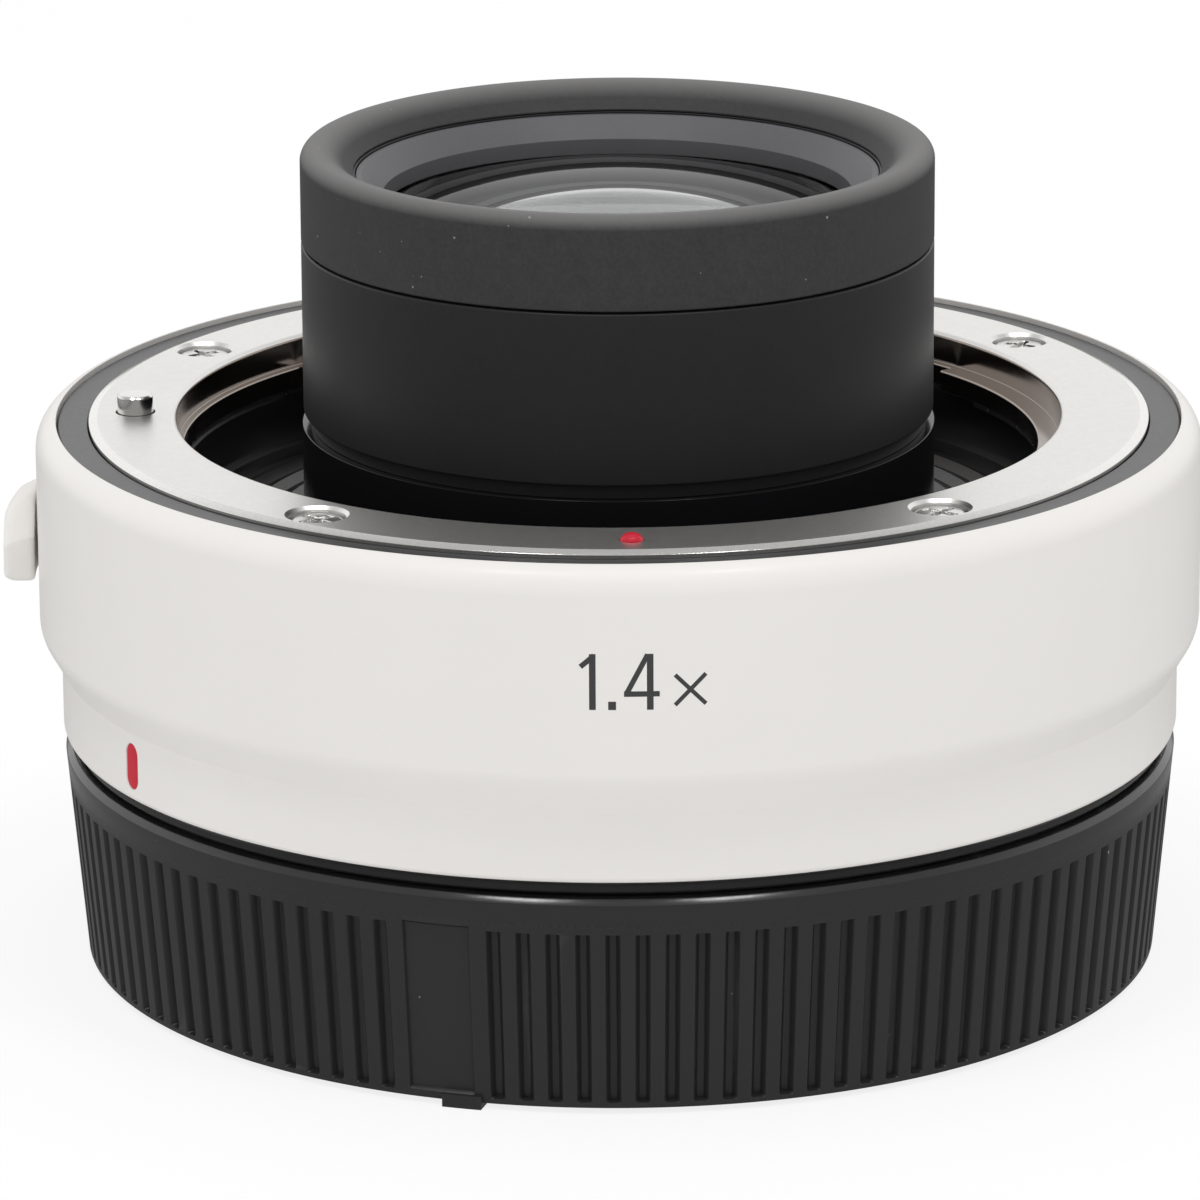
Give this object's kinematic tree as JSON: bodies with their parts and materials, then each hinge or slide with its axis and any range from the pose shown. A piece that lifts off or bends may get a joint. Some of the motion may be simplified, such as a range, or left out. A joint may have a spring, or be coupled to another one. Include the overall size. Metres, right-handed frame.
{
  "type": "camera teleconverter",
  "caption": "Round camera teleconverter with a white waisted cover, a steel bayonet in front, a black optical barrel, a lever-released lock pin and a fluted rear cap.",
  "frame": {"origin": "centre of the rear cap's flat base, on the optical axis", "axes": "+Z along the optical axis towards the lens side, -Y towards the red front index, -X towards the release lever"},
  "size_m": [0.0734, 0.0712, 0.0503],
  "materials": {
    "shell_white": "satin off-white enamel",
    "lever_white": "satin off-white moulding",
    "trim_grey": "satin black anodising",
    "mount_steel": "satin blasted steel with polished edges",
    "pin_steel": "polished steel",
    "screw_steel": "polished steel",
    "spring_steel": "bright spring steel",
    "index_red": "gloss red enamel",
    "throat_black": "matte black moulding",
    "block_black": "satin black moulding",
    "frame_black": "black anodised aluminium",
    "barrel_black": "satin black anodised aluminium",
    "collar_gloss": "gloss black",
    "rim_rubber": "matte black rubber",
    "retaining_grey": "satin dark grey anodising",
    "lens_glass": "coated optical glass",
    "seal_rubber": "smooth black rubber",
    "contact_gold": "gold plated",
    "shim_brass": "rolled brass foil",
    "board_green": "solder mask",
    "chip_black": "moulded packages",
    "flex_amber": "polyimide film",
    "cap_black": "satin black moulding"
  },
  "bodies": {
    "converter": {"outer_shell": "shell_white", "front_trim_ring": "trim_grey", "front_bayonet_ring": "mount_steel", "front_mount_screws": "screw_steel", "front_index_dot": "index_red", "mount_index_line": "index_red", "bayonet_leaf_plate": "spring_steel", "throat_baffle": "throat_black", "main_frame": "frame_black", "pin_spring": "spring_steel", "lever_spring": "spring_steel", "front_contact_block": "block_black", "optical_barrel": "frame_black", "barrel_screws": "screw_steel", "barrel_collar": "collar_gloss", "front_barrel": "barrel_black", "barrel_rim": "rim_rubber", "front_retaining_ring": "retaining_grey", "lens_1": "lens_glass", "lens_2": "lens_glass", "lens_3": "lens_glass", "lens_4": "lens_glass", "lens_5": "lens_glass", "lens_6": "lens_glass", "lens_7": "lens_glass", "lens_cell": "frame_black", "cell_retaining_ring": "frame_black", "lens_spacer": "frame_black", "rear_retaining_ring": "frame_black", "rear_bayonet": "mount_steel", "rear_mount_screws": "screw_steel", "mount_shim": "shim_brass", "rear_seal_ring": "seal_rubber", "rear_baffle": "throat_black", "rear_contact_block": "block_black", "rear_contact_pads": "contact_gold", "main_board": "board_green", "board_parts": "chip_black", "board_screws": "screw_steel", "front_flex_cable": "flex_amber", "rear_flex_cable": "flex_amber"},
    "release_lever": {"release_lever": "lever_white", "release_slider": "spring_steel", "lever_screws": "screw_steel"},
    "lock_pin": {"lock_pin": "pin_steel"},
    "front_contacts": {"front_contact_pins": "contact_gold"},
    "rear_cap": {"rear_cap": "cap_black"}
  },
  "joints": [
    {"name": "cap_twist", "type": "hinge", "parent": "converter", "child": "rear_cap", "pos_m": [0, 0, 0], "axis": [0, 0, 1], "range_deg": [-60, 0]},
    {"name": "lever_swing", "type": "hinge", "parent": "converter", "child": "release_lever", "pos_m": [0, 0, 0.025], "axis": [0, 0, 1], "range_deg": [-9, 0], "stiffness_Nm_per_rad": 0.03, "springref_deg": 1.15, "deforming": ["lever_spring"]},
    {"name": "pin_retract", "type": "slide", "parent": "converter", "child": "lock_pin", "axis": [0, 0, 1], "range_m": [-0.00135, 0], "stiffness_N_per_m": 2, "springref_m": 0.0025, "deforming": ["pin_spring"]},
    {"name": "contact_press", "type": "slide", "parent": "converter", "child": "front_contacts", "axis": [0, 0, 1], "range_m": [-0.0006, 0], "stiffness_N_per_m": 2, "springref_m": 0.0012}
  ],
  "couplings": [
    {"joint": "pin_retract", "follows": "lever_swing", "m_per_rad": 0.008276}
  ]
}
